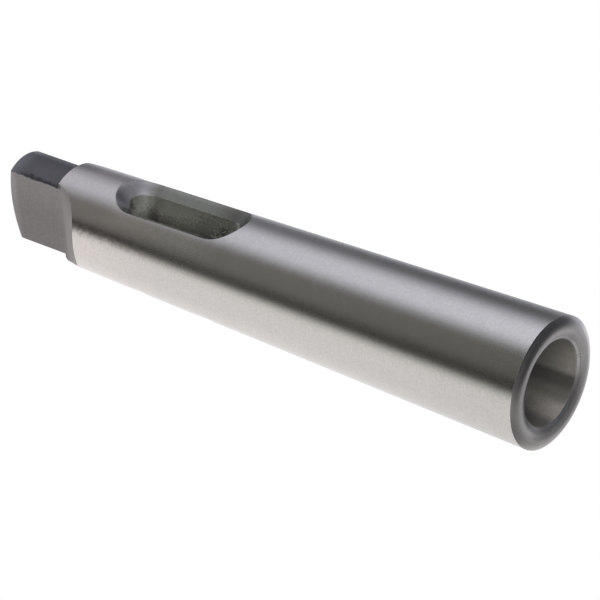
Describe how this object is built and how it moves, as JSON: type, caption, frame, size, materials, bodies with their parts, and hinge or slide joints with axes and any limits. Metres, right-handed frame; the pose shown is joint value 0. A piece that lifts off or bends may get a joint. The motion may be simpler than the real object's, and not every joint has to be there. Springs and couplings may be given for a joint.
{
  "type": "morse taper sleeve",
  "caption": "Reducing sleeve for self-holding tapers: ground taper shank with a tang, taper socket in its wide end and a bevelled drift slot through its side.",
  "frame": {"origin": "centre of the mouth's flat land, the bottom of the standing sleeve", "axes": "+Z along the axis from the mouth to the tang; Y along the drift slot, through the wall; the tang's flats face -X and +X"},
  "size_m": [0.0186, 0.0186, 0.0923],
  "materials": {
    "ground_steel": "ground"
  },
  "bodies": {
    "root": {"taper_sleeve": "ground_steel"}
  },
  "joints": []
}
